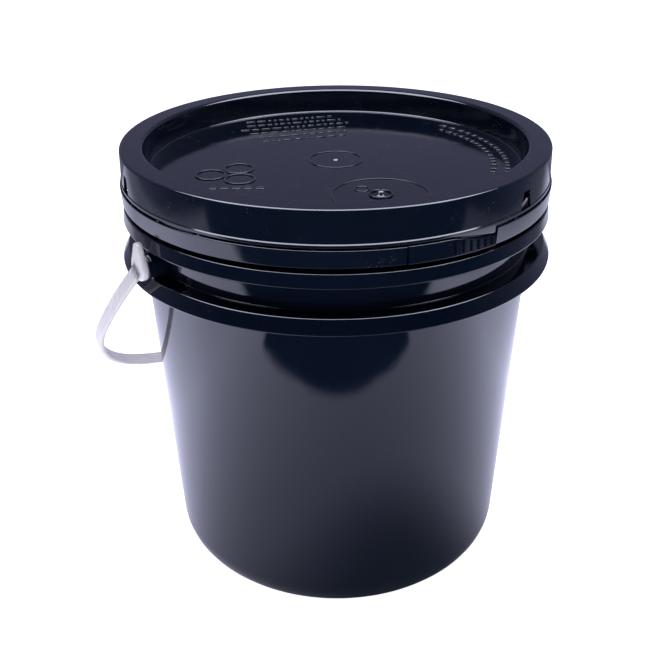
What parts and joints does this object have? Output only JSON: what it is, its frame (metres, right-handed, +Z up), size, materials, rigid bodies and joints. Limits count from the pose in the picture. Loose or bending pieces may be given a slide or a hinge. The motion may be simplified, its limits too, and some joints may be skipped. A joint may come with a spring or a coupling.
{
  "type": "fermenting bucket",
  "caption": "Round tapered plastic bucket with a recessed snap lid, a tear band with a ribbed pull tab and a swinging strap handle, for fermenting and storing liquids or food.",
  "frame": {"origin": "centre of the base, on the surface that the bucket stands on", "axes": "+Z up; the handle's pivot axis lies along X; the handle hangs towards +Y"},
  "size_m": [0.286, 0.2619, 0.275],
  "materials": {
    "body_plastic": "smooth glossy moulded polyethylene",
    "lid_plastic": "semi-gloss moulded polyethylene with fine scuffs",
    "gasket_rubber": "soft matt seal",
    "handle_plastic": "natural white translucent polypropylene"
  },
  "bodies": {
    "bucket": {"bucket_body": "body_plastic", "skirt_ring": "body_plastic", "bucket_neck": "body_plastic", "guard_ring": "body_plastic", "bucket_rim": "body_plastic"},
    "lid_set": {"lid": "lid_plastic", "lid_gasket": "gasket_rubber", "tear_band": "lid_plastic"},
    "tab": {"pull_tab": "lid_plastic"},
    "handle": {"bail_handle": "handle_plastic"}
  },
  "joints": [
    {"name": "lid_lift", "type": "slide", "parent": "bucket", "child": "lid_set", "axis": [0, 0, 1], "range_m": [0, 0.15]},
    {"name": "tab_pull", "type": "hinge", "parent": "lid_set", "child": "tab", "pos_m": [-0.04504, -0.12046, 0.2494], "axis": [0, 0, -1], "range_deg": [0, 70]},
    {"name": "bail_swing", "type": "hinge", "parent": "bucket", "child": "handle", "pos_m": [0, 0, 0.225], "axis": [1, 0, 0], "range_deg": [0, 278]}
  ]
}
